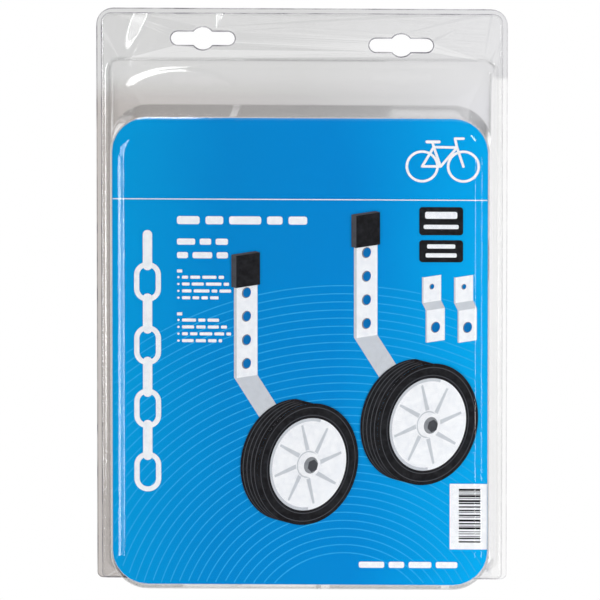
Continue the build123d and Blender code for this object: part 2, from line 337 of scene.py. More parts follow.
def pet_sheet_thermoformed(name, upper_tints_with_painted_shade, lower_tints_with_painted_shade_and_light, swells=(), mirror=0.022):
    """Clear PET sheet, extruded and then drawn over a mould.

    It lets nearly all light through, and it mirrors the room where it turns away from the eye. Its tints
    are a light grey, which painted shade deepens towards the left edge and below the shoulder, and which
    painted light clears towards the right edge. The tints run from the left to the right edge, at the
    hanging flange and below the shoulder. Waves some 45 mm long and 0.2 mm high bend the mirrored lamps,
    and a swell that handling left catches one as a soft glint. Light from lamps passes it unweakened.
    """
    material, tree, place = new_material(name)
    parts = add(tree, "ShaderNodeSeparateXYZ", {0: place})
    across = add(
        tree, "ShaderNodeMapRange", {0: parts.outputs["X"], 1: cad_box[0].x, 2: cad_box[1].x}
    )
    shade_change_bottom_across = add(
        tree, "ShaderNodeMapRange",
        {
            0: across, 1: painted_light_strip_start, 2: painted_light_strip_full,
            3: painted_shade_change_bottom * MM, 4: painted_light_change_bottom_in_strip * MM,
        },
    )
    # Share of the lower tints, which hold painted shade below the shoulder and painted light in the right
    # strip
    lower_painted_shade_share = add(
        tree, "ShaderNodeMapRange", {0: parts.outputs["Z"], 1: painted_shade_change_top * MM, 2: shade_change_bottom_across},
        interpolation_type="SMOOTHSTEP",
    )
    # Tints by place across: painted shade towards the left edge, painted light towards the right edge
    upper = add(tree, "ShaderNodeValToRGB", {"Fac": across}, stops=upper_tints_with_painted_shade)
    lower = add(tree, "ShaderNodeValToRGB", {"Fac": across}, stops=lower_tints_with_painted_shade_and_light)
    tint_with_painted_shade_and_light = add(tree, "ShaderNodeMix", {0: lower_painted_shade_share, 6: upper, 7: lower}, data_type="RGBA").outputs[2]
    waves = add(tree, "ShaderNodeTexNoise", {"Vector": place, "Scale": 1 / (45 * MM), "Detail": 1.0})
    height = add(tree, "ShaderNodeMath", {0: waves, 1: 0.2}, operation="MULTIPLY")
    for x, y, z, half_width, half_height, lean, level, rise in swells:
        half_depth = 3 * half_width
        local = add(
            tree, "ShaderNodeMapping",
            {
                "Vector": place, "Location": (x * MM, y * MM, z * MM), "Rotation": (0, math.radians(lean), 0),
                "Scale": (half_width * MM, half_depth * MM, half_height * MM),
            },
            vector_type="TEXTURE",
        )
        reach = add(tree, "ShaderNodeVectorMath", {0: local}, operation="LENGTH").outputs["Value"]
        swell = add(
            tree, "ShaderNodeMapRange", {0: reach, 1: 1.0, 2: level, 3: 0.0, 4: rise},
            interpolation_type="SMOOTHSTEP",
        )
        height = add(tree, "ShaderNodeMath", {0: height, 1: swell}, operation="ADD")
    bump = add(tree, "ShaderNodeBump", {"Height": height, "Strength": 1.0, "Distance": MM})
    facing = add(tree, "ShaderNodeLayerWeight", {"Blend": 0.5, "Normal": bump}).outputs["Facing"]
    steep = add(tree, "ShaderNodeMath", {0: facing, 1: 5.0}, operation="POWER")
    mirror_share = add(tree, "ShaderNodeMath", {0: steep, 1: 0.95, 2: mirror}, operation="MULTIPLY_ADD")
    through = add(tree, "ShaderNodeBsdfTransparent", {"Color": tint_with_painted_shade_and_light})
    gloss = add(
        tree, "ShaderNodeBsdfAnisotropic", {"Color": linear("#FFFFFF"), "Roughness": 0.05, "Normal": bump}
    )
    sheet = add(tree, "ShaderNodeMixShader", {0: mirror_share, 1: through, 2: gloss})
    lamp_path = add(tree, "ShaderNodeLightPath").outputs["Is Shadow Ray"]
    lamp_light = add(tree, "ShaderNodeBsdfTransparent", {"Color": linear("#FFFFFF")})
    mixed = add(tree, "ShaderNodeMixShader", {0: lamp_path, 1: sheet, 2: lamp_light})
    add(tree, "ShaderNodeOutputMaterial", {"Surface": mixed})
    return material


def pet_edge_die_cut():
    """Edge of PET sheet sheared by a die: the ragged cut traps light, so it reads as a broken dark line.

    The line is fainter at the right, where the edge is lit from behind.
    """
    material, tree, place = new_material("pet_edge_die_cut")
    ragged = add(tree, "ShaderNodeTexNoise", {"Vector": place, "Scale": 1 / (11 * MM), "Detail": 3.0})
    trapped = add(tree, "ShaderNodeValToRGB", {"Fac": ragged}, stops=[(0.35, "#8B8896"), (0.65, "#5F5B6B")])
    across = add(tree, "ShaderNodeSeparateXYZ", {0: place}).outputs["X"]
    most = add(
        tree, "ShaderNodeMapRange",
        {0: across, 1: edge_fade_start * MM, 2: edge_fade_end * MM, 3: 0.85, 4: 0.3},
    )
    cover = add(tree, "ShaderNodeMapRange", {0: ragged, 1: 0.3, 2: 0.7, 3: 0.15, 4: most})
    surface = add(
        tree, "ShaderNodeBsdfPrincipled",
        {"Base Color": trapped, "Roughness": 0.6, "IOR": 1.57, "Specular IOR Level": 0.1, "Alpha": cover},
    )
    add(tree, "ShaderNodeOutputMaterial", {"Surface": surface})
    return material


def card_offset_printed():
    """Coated board, offset printed on its front: blue that lightens to the right.

    At its left edge the blue is lighter, as painted reflection of glare on the clear front. Behind it is
    bare, with grey-white fibres.
    """
    material, tree, place = new_material("coated_card_offset_printed")
    parts = add(tree, "ShaderNodeSeparateXYZ", {0: place})
    across = add(
        tree, "ShaderNodeMapRange", {0: parts.outputs["X"], 1: -card_half_width * MM, 2: card_half_width * MM}
    )
    cloud = add(tree, "ShaderNodeTexNoise", {"Vector": place, "Scale": 1 / (90 * MM), "Detail": 2.0})
    drift = add(tree, "ShaderNodeMath", {0: cloud, 1: 0.3, 2: -0.15}, operation="MULTIPLY_ADD")
    blend = add(tree, "ShaderNodeMath", {0: across, 1: drift}, operation="ADD")
    # Print blue, lightening towards the right edge; its lighter left end is painted reflection of glare
    blue = add(
        tree, "ShaderNodeValToRGB", {"Fac": blend},
        stops=[(0.0, "#009ADA"), (0.3, "#0086CD"), (0.6, "#0085CF"), (1.0, "#00A6E8")],
    )
    fibre = add(tree, "ShaderNodeTexNoise", {"Vector": place, "Scale": 1 / (1.2 * MM), "Detail": 4.0})
    board = add(tree, "ShaderNodeValToRGB", {"Fac": fibre}, stops=[(0.3, "#D3D0C8"), (0.7, "#E4E2DC")])
    skin_end = card_low.y + print_depth * MM
    is_front = add(tree, "ShaderNodeMath", {0: parts.outputs["Y"], 1: skin_end}, operation="LESS_THAN")
    colour = add(tree, "ShaderNodeMix", {0: is_front, 6: board, 7: blue}, data_type="RGBA").outputs[2]
    roughness = add(tree, "ShaderNodeMapRange", {0: is_front, 3: 0.8, 4: 0.42})
    bump = add(tree, "ShaderNodeBump", {"Height": fibre, "Strength": 0.3, "Distance": 0.03 * MM})
    surface = add(
        tree, "ShaderNodeBsdfPrincipled",
        {
            "Base Color": colour, "Roughness": roughness, "IOR": 1.5, "Specular IOR Level": 0.04,
            "Normal": bump,
        },
    )
    add(tree, "ShaderNodeOutputMaterial", {"Surface": surface})
    return material


def ink_offset(name, colour, worn):
    """Offset ink on coated card: an even film with the faint mottle that the paper gives it."""
    material, tree, place = new_material(name)
    mottle = add(tree, "ShaderNodeTexNoise", {"Vector": place, "Scale": 1 / (2.5 * MM), "Detail": 3.0})
    film = add(tree, "ShaderNodeValToRGB", {"Fac": mottle}, stops=[(0.3, worn), (0.65, colour)])
    surface = add(
        tree, "ShaderNodeBsdfPrincipled",
        {"Base Color": film, "Roughness": 0.42, "IOR": 1.5, "Specular IOR Level": 0.04},
    )
    add(tree, "ShaderNodeOutputMaterial", {"Surface": surface})
    return material


def steel_powder_coated_white():
    """White powder coat baked on strip steel: a soft gloss over orange peel about a millimetre across."""
    material, tree, place = new_material("steel_powder_coated_white")
    peel = add(tree, "ShaderNodeTexNoise", {"Vector": place, "Scale": 1 / (1.4 * MM), "Detail": 2.0})
    patches = add(tree, "ShaderNodeTexNoise", {"Vector": place, "Scale": 1 / (30 * MM), "Detail": 2.0})
    coat = add(tree, "ShaderNodeValToRGB", {"Fac": patches}, stops=[(0.3, "#E6E6E4"), (0.7, "#F0F0EE")])
    bump = add(tree, "ShaderNodeBump", {"Height": peel, "Strength": 0.5, "Distance": 0.05 * MM})
    surface = add(
        tree, "ShaderNodeBsdfPrincipled", {"Base Color": coat, "Roughness": 0.34, "IOR": 1.5, "Normal": bump}
    )
    add(tree, "ShaderNodeOutputMaterial", {"Surface": surface})
    return material


def vinyl_dipped_black():
    """Black soft vinyl cap: nearly matt, with a fine grain and paler scuffed spots."""
    material, tree, place = new_material("vinyl_dipped_black")
    grain = add(tree, "ShaderNodeTexNoise", {"Vector": place, "Scale": 1 / (0.8 * MM), "Detail": 3.0})
    scuff = add(tree, "ShaderNodeTexNoise", {"Vector": place, "Scale": 1 / (9 * MM), "Detail": 5.0})
    skin = add(tree, "ShaderNodeValToRGB", {"Fac": scuff}, stops=[(0.45, "#1F2022"), (0.75, "#34363A")])
    bump = add(tree, "ShaderNodeBump", {"Height": grain, "Strength": 0.4, "Distance": 0.05 * MM})
    surface = add(
        tree, "ShaderNodeBsdfPrincipled", {"Base Color": skin, "Roughness": 0.55, "IOR": 1.53, "Normal": bump}
    )
    add(tree, "ShaderNodeOutputMaterial", {"Surface": surface})
    return material


def polypropylene_moulded_white():
    """White moulded polypropylene: waxy and a little see-through at its thin edges, with faint flow marks."""
    material, tree, place = new_material("polypropylene_moulded_white")
    flow = add(
        tree, "ShaderNodeTexNoise",
        {"Vector": place, "Scale": 1 / (22 * MM), "Detail": 2.0, "Distortion": 1.5},
    )
    plastic = add(tree, "ShaderNodeValToRGB", {"Fac": flow}, stops=[(0.3, "#E4E6EA"), (0.7, "#EFF0F2")])
    skin = add(tree, "ShaderNodeTexNoise", {"Vector": place, "Scale": 1 / (1.0 * MM), "Detail": 2.0})
    bump = add(tree, "ShaderNodeBump", {"Height": skin, "Strength": 0.2, "Distance": 0.03 * MM})
    surface = add(
        tree, "ShaderNodeBsdfPrincipled",
        {
            "Base Color": plastic, "Roughness": 0.36, "IOR": 1.49, "Normal": bump,
            "Subsurface Weight": 0.15, "Subsurface Radius": (1.0, 1.0, 1.0), "Subsurface Scale": 1.5 * MM,
        },
    )
    add(tree, "ShaderNodeOutputMaterial", {"Surface": surface})
    return material


def rubber_moulded_black():
    """Black moulded tyre: matt, fine grained, with a grey bloom here and there."""
    material, tree, place = new_material("rubber_moulded_black")
    grain = add(tree, "ShaderNodeTexNoise", {"Vector": place, "Scale": 1 / (0.9 * MM), "Detail": 4.0})
    bloom = add(tree, "ShaderNodeTexNoise", {"Vector": place, "Scale": 1 / (26 * MM), "Detail": 4.0})
    skin = add(tree, "ShaderNodeValToRGB", {"Fac": bloom}, stops=[(0.35, "#202022"), (0.75, "#35353A")])
    bump = add(tree, "ShaderNodeBump", {"Height": grain, "Strength": 0.5, "Distance": 0.06 * MM})
    surface = add(
        tree, "ShaderNodeBsdfPrincipled", {"Base Color": skin, "Roughness": 0.68, "IOR": 1.52, "Normal": bump}
    )
    add(tree, "ShaderNodeOutputMaterial", {"Surface": surface})
    return material


def steel_zinc_plated(name, thread_pitch=None):
    """Bright zinc plate on cold-headed steel: cool grey, and cloudy at a centimetre's scale.

    A thread shows as rings, a pitch apart. The wave texture repeats every pi / 10 at a scale of 1.
    """
    material, tree, place = new_material(name)
    cloud = add(tree, "ShaderNodeTexNoise", {"Vector": place, "Scale": 1 / (7 * MM), "Detail": 4.0})
    plate = add(tree, "ShaderNodeValToRGB", {"Fac": cloud}, stops=[(0.3, "#B4B7BC"), (0.7, "#CDCFD2")])
    roughness = add(tree, "ShaderNodeMapRange", {0: cloud, 3: 0.24, 4: 0.40})
    inputs = {"Base Color": plate, "Metallic": 1.0, "Roughness": roughness}
    if thread_pitch:
        scale = math.pi / 10 / (thread_pitch * MM)
        turns = add(tree, "ShaderNodeTexWave", {"Vector": place, "Scale": scale}, bands_direction="Y")
        inputs["Normal"] = add(
            tree, "ShaderNodeBump", {"Height": turns, "Strength": 0.6, "Distance": 0.4 * MM}
        )
    surface = add(tree, "ShaderNodeBsdfPrincipled", inputs)
    add(tree, "ShaderNodeOutputMaterial", {"Surface": surface})
    return material


def seen_share(tree, share):
    """Give a share to what the eye sees, also in mirrors and through glass, and none to light on things."""
    path = add(tree, "ShaderNodeLightPath").outputs
    seen = path["Is Camera Ray"]
    for ray in ("Is Glossy Ray", "Is Transmission Ray"):
        seen = add(tree, "ShaderNodeMath", {0: seen, 1: path[ray]}, operation="MAXIMUM")
    return add(tree, "ShaderNodeMath", {0: seen, 1: share}, operation="MULTIPLY")


def floor_painted_white():
    """Matt white studio floor, drawn white for the eye, with the object's shadow left on it."""
    material, tree, place = new_material("floor_painted_white")
    speck = add(tree, "ShaderNodeTexNoise", {"Vector": place, "Scale": 1 / (60 * MM), "Detail": 3.0})
    paint = add(tree, "ShaderNodeValToRGB", {"Fac": speck}, stops=[(0.3, "#F2F2F2"), (0.7, "#F6F6F6")])
    matt = add(tree, "ShaderNodeBsdfDiffuse", {"Color": paint})
    glow = add(tree, "ShaderNodeEmission", {"Color": linear("#FFFFFF"), "Strength": seen_share(tree, 0.2)})
    both = add(tree, "ShaderNodeAddShader", {0: matt, 1: glow})
    add(tree, "ShaderNodeOutputMaterial", {"Surface": both})
    return material


# Flat shapes, each a list of outlines that don't overlap, in millimetres seen from the front

def arc(x, z, radius, start, sweep, steps):
    """Points along an arc, in degrees from +X."""
    turns = [math.radians(start + sweep * number / steps) for number in range(steps + 1)]
    return [(x + radius * math.cos(turn), z + radius * math.sin(turn)) for turn in turns]


def grown(box, step):
    """Left, bottom, right and top of a box that is moved out by a step on all sides."""
    return [side + step * way for side, way in zip(box, (-1, -1, 1, 1))]


def rounded(left, bottom, right, top, low_radius, high_radius):
    """Outline of a rectangle with rounded corners, from the lower right corner round."""
    outline = []
    for x, z, radius, turn in (
        (right - low_radius, bottom + low_radius, low_radius, -90),
        (right - high_radius, top - high_radius, high_radius, 0),
        (left + high_radius, top - high_radius, high_radius, 90),
        (left + low_radius, bottom + low_radius, low_radius, 180),
    ):
        outline += arc(x, z, radius, turn, 90, corner_steps)
    return outline


def bar(left, bottom, right, top, radius):
    """Rounded bar."""
    return [rounded(left, bottom, right, top, radius, radius)]


def disc(x, z, radius, steps):
    """Disc."""
    return [arc(x, z, radius, 0, 360, steps)[:-1]]


def band(first, last, closed=True):
    """Band of short four-sided faces between two lines with as many points."""
    count = len(first) if closed else len(first) - 1
    faces = []
    for number in range(count):
        after = (number + 1) % len(first)
        faces.append([first[number], last[number], last[after], first[after]])
    return faces


def ring(x, z, outer, inner, start=0, sweep=360, steps=64):
    """Ring, or an arc of one."""
    return band(arc(x, z, inner, start, sweep, steps), arc(x, z, outer, start, sweep, steps), closed=False)


def stroke(points, width):
    """Line of a width with round ends through the points, as one shape for each end and each run."""
    shapes = [disc(*point, width / 2, line_end_steps) for point in points]
    for (x0, z0), (x1, z1) in zip(points, points[1:]):
        length = math.hypot(x1 - x0, z1 - z0)
        side_x = -(z1 - z0) / length * width / 2
        side_z = (x1 - x0) / length * width / 2
        shapes.append([[
            (x0 - side_x, z0 - side_z), (x1 - side_x, z1 - side_z),
            (x1 + side_x, z1 + side_z), (x0 + side_x, z0 + side_z),
        ]])
    return shapes


def words(left, right, bottom, height):
    """Row of bars in the place of a line of words."""
    row = []
    start = left
    while start < right - height:
        end = min(start + height * seeded.uniform(word_shortest, word_longest), right)
        row += bar(start, bottom, end, bottom + height, height * word_corner)
        start = end + height * word_gap
    return row


def hang_slot(side, grow):
    """Outline of a hang slot, made larger all round."""
    x = side * slot_spacing / 2
    z = -side * slot_half_skew
    end_radius = slot_height / 2 + grow
    bump_radius = slot_bump_diameter / 2 + grow
    end = (slot_length - slot_height) / 2
    meet = math.degrees(math.asin(end_radius / bump_radius))
    outline = []
    for way, turn in ((1, 0), (-1, 180)):
        outline += arc(x + way * end, z, end_radius, turn - 90, 180, slot_arc_steps)
        outline += arc(x, z, bump_radius, turn + meet, 180 - 2 * meet, slot_arc_steps)
    return outline


def on_card(x, z, margin):
    """Whether a point lies on the card, a margin inside its rounded edge."""
    half = card_half_width - card_corner_radius
    over_x = max(abs(x) - half, 0)
    over_z = max(z - (card_top - card_corner_radius), (card_bottom + card_corner_radius) - z, 0)
    return math.hypot(over_x, over_z) < card_corner_radius - margin


def new_piece(name, points, faces, material):
    """Make a piece of the pack from points in metres and faces."""
    mesh = bpy.data.meshes.new(name)
    mesh.from_pydata(points, [], faces)
    mesh.materials.append(material)
    piece = bpy.data.objects.new(name, mesh)
    scene.collection.objects.link(piece)
    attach(piece, "pack")
    return piece


def flat_piece(name, shapes, y, material):
    """Make one piece of flat shapes that face the front, each a hair in front of the one before."""
    points = []
    faces = []
    for level, shape in enumerate(shapes):
        for outline in shape:
            faces.append(list(range(len(points), len(points) + len(outline))))
            points += [(x * MM, y - level * shape_rise * MM, z * MM) for x, z in outline]
    new_piece(name, points, faces, material)


def swept_piece(name, box, radii, profile, material):
    """Sweep a profile round a rounded rectangle. The profile is steps out from it, with places in depth."""
    points = []
    faces = []
    for grow, y in profile:
        outline = rounded(*grown(box, grow), *[radius + grow for radius in radii])
        row = range(len(points), len(points) + len(outline))
        if points:
            faces += band([number - len(outline) for number in row], row)
        points += [(x * MM, y * MM, z * MM) for x, z in outline]
    piece = new_piece(name, points, faces, material)
    for face in piece.data.polygons:
        face.use_smooth = True


def printed(name, shapes, layer, material):
    """Lay shapes on the card's front, a number of ink layers up."""
    flat_piece(name, shapes, card_low.y - layer * ink_layer * MM, material)


# Finishes of the solids

coat = steel_powder_coated_white()
plate = steel_zinc_plated("steel_zinc_plated")
finishes = {
    # Faint painted shade: the front sheet's tints darken slightly towards the left edge
    "front_shell": pet_sheet_thermoformed(
        "clear_pet_thermoformed",
        [(0.0, "#FDFDFD"), (1.0, "#FFFFFF")],
        [(0.0, "#FBFBFB"), (0.5, "#FDFDFD"), (1.0, "#FFFFFF")],
        sheet_swells,
    ),
    # Painted shade: darker to the left and below the shoulder. Painted light: clear at the right edge
    "back_shell": pet_sheet_thermoformed(
        "back_pet_thermoformed_painted_shade",
        [(0.0, "#EEEEEE"), (0.5, "#EDEDED"), (1.0, "#F3F3F4")],
        [
            (0.0, "#E2DFDD"), (0.04, "#E2DFDD"), (0.5, "#E3E2E2"), (0.8, "#ECECED"),
            (painted_light_strip_start, "#F4F4F6"), (painted_light_strip_full, "#FFFFFF"),
        ],
    ),
    "printed_card": card_offset_printed(),
    "leg": coat,
    "bracket": coat,
    "leg_cap": vinyl_dipped_black(),
    "wheel": polypropylene_moulded_white(),
    "tyre": rubber_moulded_black(),
    "axle_bolt": steel_zinc_plated("steel_zinc_plated_threaded", bolt_thread_pitch),
    "head_washer": plate,
    "nut_washer": plate,
    "axle_nut": plate,
}
for name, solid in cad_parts.items():
    finish = finishes[name.removeprefix("left_").removeprefix("right_")]
    solid.data.materials.clear()
    solid.data.materials.append(finish)

# Cut edges of the two flanges and their slots, half-way through each sheet
cut_edge = pet_edge_die_cut()
for name, low, high, radii, middle in (
    ("front_cut_edge", front_low, front_high, front_corner_radii, -sheet_thickness / 2),
    ("back_cut_edge", back_low, back_high, back_corner_radii, sheet_thickness / 2),
):
    box = (low.x / MM, low.z / MM, high.x / MM, high.z / MM)
    inset_radii = [radius - edge_line_width for radius in radii]
    edges = band(rounded(*box, *radii), rounded(*grown(box, -edge_line_width), *inset_radii))
    for side in (-1, 1):
        edges += band(hang_slot(side, 0), hang_slot(side, edge_line_width))
    flat_piece(name, [edges], middle * MM, cut_edge)

# Rounded foot of the step and raised lip of the front flange, which mirror the lamps as thin bright lines
# Its tints are faintly darker towards the left edge, as painted shade
bead = pet_sheet_thermoformed(
    "folded_pet_thermoformed",
    [(0.0, "#FBFBFB"), (1.0, "#FFFFFF")], [(0.0, "#FBFBFB"), (1.0, "#FFFFFF")], mirror=0.09,
)
foot_profile = []
lip_profile = []
for step in range(corner_steps + 1):
    turn = math.radians(90 * step / corner_steps)
    foot_y = -sheet_thickness - foot_fillet_radius * (1 - math.sin(turn))
    foot_profile.append((foot_fillet_radius * (1 - math.cos(turn)), foot_y))
    lip_y = -sheet_thickness - lip_radius * math.sin(2 * turn) / 2
    lip_profile.append((lip_radius * math.cos(2 * turn) - lip_from_edge, lip_y))
swept_piece(
    "step_foot_fillet", (-step_half_width, step_bottom, step_half_width, step_top),
    (step_corner_radius, step_corner_radius), foot_profile, bead,
)
swept_piece(
    "front_flange_lip", [value / MM for value in (front_low.x, front_low.z, front_high.x, front_high.z)],
    front_corner_radii, lip_profile, bead,
)

# Inks
white_ink = ink_offset("ink_offset_white", "#F4F5F7", "#E9EBEF")
black_ink = ink_offset("ink_offset_black", "#1B1B1D", "#29292C")
dark_ink = ink_offset("ink_offset_dark_grey", "#4C4D52", "#444549")
grey_ink = ink_offset("ink_offset_grey", "#8D9094", "#83868B")
shade_ink = ink_offset("ink_offset_light_grey", "#C9CDD3", "#C2C6CC")
pale_ink = ink_offset("ink_offset_pale_blue", "#2FA9E6", "#27A3E2")
deep_ink = ink_offset("ink_offset_deep_blue", "#0A6FB4", "#0868A9")

# Bare board where the card was cut
card_box = (-card_half_width, card_bottom, card_half_width, card_top)
cut_outline, = bar(*card_box, card_corner_radius)
print_outline, = bar(*grown(card_box, -card_bare_edge), card_corner_radius - card_bare_edge)
printed("print_bare_edge", [band(cut_outline, print_outline)], 1, white_ink)

# Ripples, cut off at the card's edge
ripples = []
for number in range(ripple_count):
    radius = ripple_first_radius + ripple_spacing * number
    outer, inner = radius + ripple_width / 2, radius - ripple_width / 2
    ripples += [
        face for face in ring(*ripple_centre, outer, inner, 0, 180, ripple_steps)
        if all(on_card(x, z, ripple_from_edge) for x, z in face)
    ]
printed("print_ripples", [ripples], 1, pale_ink)

# Rule, lines of words, lists and the foot line
rule_end = card_half_width - rule_from_edge
text = bar(
    -rule_end, rule_height - rule_width / 2, rule_end, rule_height + rule_width / 2, rule_corner_radius
)
for line in head_lines:
    text += words(*line)
for first_foot in list_first_feet:
    mark_foot = first_foot + list_mark_rise
    text += bar(
        text_left, mark_foot, text_left + list_mark_width, mark_foot + list_line_height,
        list_mark_corner_radius,
    )
    for number, right in enumerate(list_right_ends):
        foot = first_foot - list_line_spacing * number
        text += disc(text_left + list_dot_inset, foot + list_line_height / 2, list_dot_radius, dot_steps)
        text += words(text_left + list_indent, right, foot, list_line_height)
text += words(*foot_line)
printed("print_text", [text], 2, white_ink)

# Chain
open_links = []
edge_links = []
for number in range(link_count):
    low = chain_foot + link_pitch * number
    high = low + link_pitch
    if number % 2:
        edge_links += bar(
            chain_x - edge_link_width / 2, low - edge_link_overlap,
            chain_x + edge_link_width / 2, high + edge_link_overlap, edge_link_corner_radius,
        )
    else:
        foot, top = low + link_end_inset, high - link_end_inset
        for end, turn in ((foot, 180), (top, 0)):
            open_links += ring(chain_x, end, link_outer_radius, link_inner_radius, turn, 180, link_end_steps)
        for left, right in (
            (chain_x - link_outer_radius, chain_x - link_inner_radius),
            (chain_x + link_inner_radius, chain_x + link_outer_radius),
        ):
            open_links.append([(left, foot), (right, foot), (right, top), (left, top)])
printed("print_chain", [open_links, edge_links], 2, white_ink)

# Bicycle sign, its frame drawn line by line
sign = [ring(*sign_rear_hub, *sign_wheel_radii) + ring(*sign_front_hub, *sign_wheel_radii)]
for points, width in (
    ((sign_rear_hub, sign_crank, sign_seat_joint, sign_rear_hub), sign_line_width),
    ((sign_seat_joint, sign_head, sign_crank), sign_line_width),
    ((sign_front_hub, sign_head, *sign_handlebar), sign_line_width),
    ((sign_seat_joint, sign_seat_top), sign_line_width),
    (sign_saddle, sign_saddle_width),
):
    sign += stroke(points, width)
printed("print_bicycle", sign, 2, white_ink)

# Two dark labels with their own lines
labels = [outline for box in label_boxes for outline in bar(*box)]
printed("print_labels", [labels], 2, black_ink)
lines = [outline for box in label_lines for outline in bar(*box)]
printed("print_label_lines", [lines], 3, white_ink)

# Striped code on a white patch at the right edge
patch = bar(code_left, code_bottom, card_half_width - code_from_edge, code_top, code_corner_radius)
printed("print_code_patch", [patch], 2, white_ink)
stripes = []
foot = stripes_bottom
while foot < stripes_top:
    top = foot + seeded.choice(stripe_widths)
    stripes += bar(stripe_left, foot, stripe_right, top, stripe_corner_radius)
    foot = top + seeded.choice(stripe_gaps)
printed("print_code_stripes", [stripes], 3, black_ink)

# Drawing of the two training wheels and their brackets: the ink layer and the ink of each kind of face
drawing_inks = {
    "strips": (2, white_ink), "strip_edges": (2, shade_ink), "strip_bends": (2, shade_ink),
    "hole_rims": (3, grey_ink), "holes": (4, deep_ink), "caps": (5, black_ink), "cap_edges": (5, dark_ink),
    "treads": (5, black_ink), "tyres": (6, black_ink), "grooves": (6, dark_ink), "walls": (7, dark_ink),
    "wheels": (7, white_ink), "ridges": (8, shade_ink), "hubs": (9, white_ink), "washers": (10, grey_ink),
    "nuts": (11, dark_ink),
}
drawn = {name: [] for name in drawing_inks}


def picture(origin, along, out, up):
    """Place on the card of a drawn point: along the wheel, out of its face, and up from the origin."""
    near = out * math.cos(picture_turn) - along * math.sin(picture_turn)
    x = along * math.cos(picture_turn) + out * math.sin(picture_turn)
    return (origin[0] + x, origin[1] + up * math.cos(picture_fall) - near * math.sin(picture_fall))


def drawn_face(origin, *corners):
    """One flat face of the drawing through corners along, out and up."""
    return [[picture(origin, *corner) for corner in corners]]


def drawn_arc(origin, radius, out, start, sweep, steps, centre=(0, 0)):
    """Points of a circle round the wheel's axle or another centre, or of an arc of one."""
    return [picture(origin, along, out, up) for along, up in arc(*centre, radius, start, sweep, steps)]


def drawn_disc(origin, radius, out, start=0, steps=drawn_circle_steps, centre=(0, 0)):
    """Face inside such a circle, or a polygon with few steps."""
    return [drawn_arc(origin, radius, out, start, 360, steps, centre)[:-1]]


def drawn_band(origin, first, last, start=0, sweep=360, steps=drawn_circle_steps):
    """Band between two circles round the wheel's axle, by radius and place out, or an arc of the band."""
    lines = [drawn_arc(origin, *circle, start, sweep, steps) for circle in (first, last)]
    return band(*lines, closed=False)


def drawn_strip(origin, runs, half_width, thickness):
    """Front faces and left edges of a bent strip, through its places out and up."""
    fronts, sides = [], []
    for (out, up), (next_out, next_up) in zip(runs, runs[1:]):
        fronts += drawn_face(
            origin, (-half_width, out, up), (half_width, out, up),
            (half_width, next_out, next_up), (-half_width, next_out, next_up),
        )
        sides += drawn_face(
            origin, (-half_width, out - thickness, up), (-half_width, out, up),
            (-half_width, next_out, next_up), (-half_width, next_out - thickness, next_up),
        )
    return fronts, sides


def draw_cranked_strip(origin, runs, half_width, thickness):
    """Add a strip with a foot, a bend and a top to the drawing."""
    (foot, bend, top), sides = drawn_strip(origin, runs, half_width, thickness)
    drawn["strips"] += [foot, top]
    drawn["strip_bends"] += [bend]
    drawn["strip_edges"] += sides


def draw_hole(origin, out, up, radius, rim):
    """Add a hole in a strip to the drawing, with a rim that shows at its left."""
    drawn["hole_rims"] += drawn_disc(origin, radius + rim, out, steps=drawn_hole_steps, centre=(-rim, up))
    drawn["holes"] += drawn_disc(origin, radius, out, steps=drawn_hole_steps, centre=(0, up))


def draw_ridge(origin, turn):
    """Add one ridge of a wheel's face to the drawing, at an angle from the axle."""
    corners = []
    for reach, side in drawn_ridge_corners:
        along = reach * math.cos(turn) + side * math.sin(turn)
        up = reach * math.sin(turn) - side * math.cos(turn)
        corners.append((along, 0, up))
    drawn["ridges"] += drawn_face(origin, *corners)


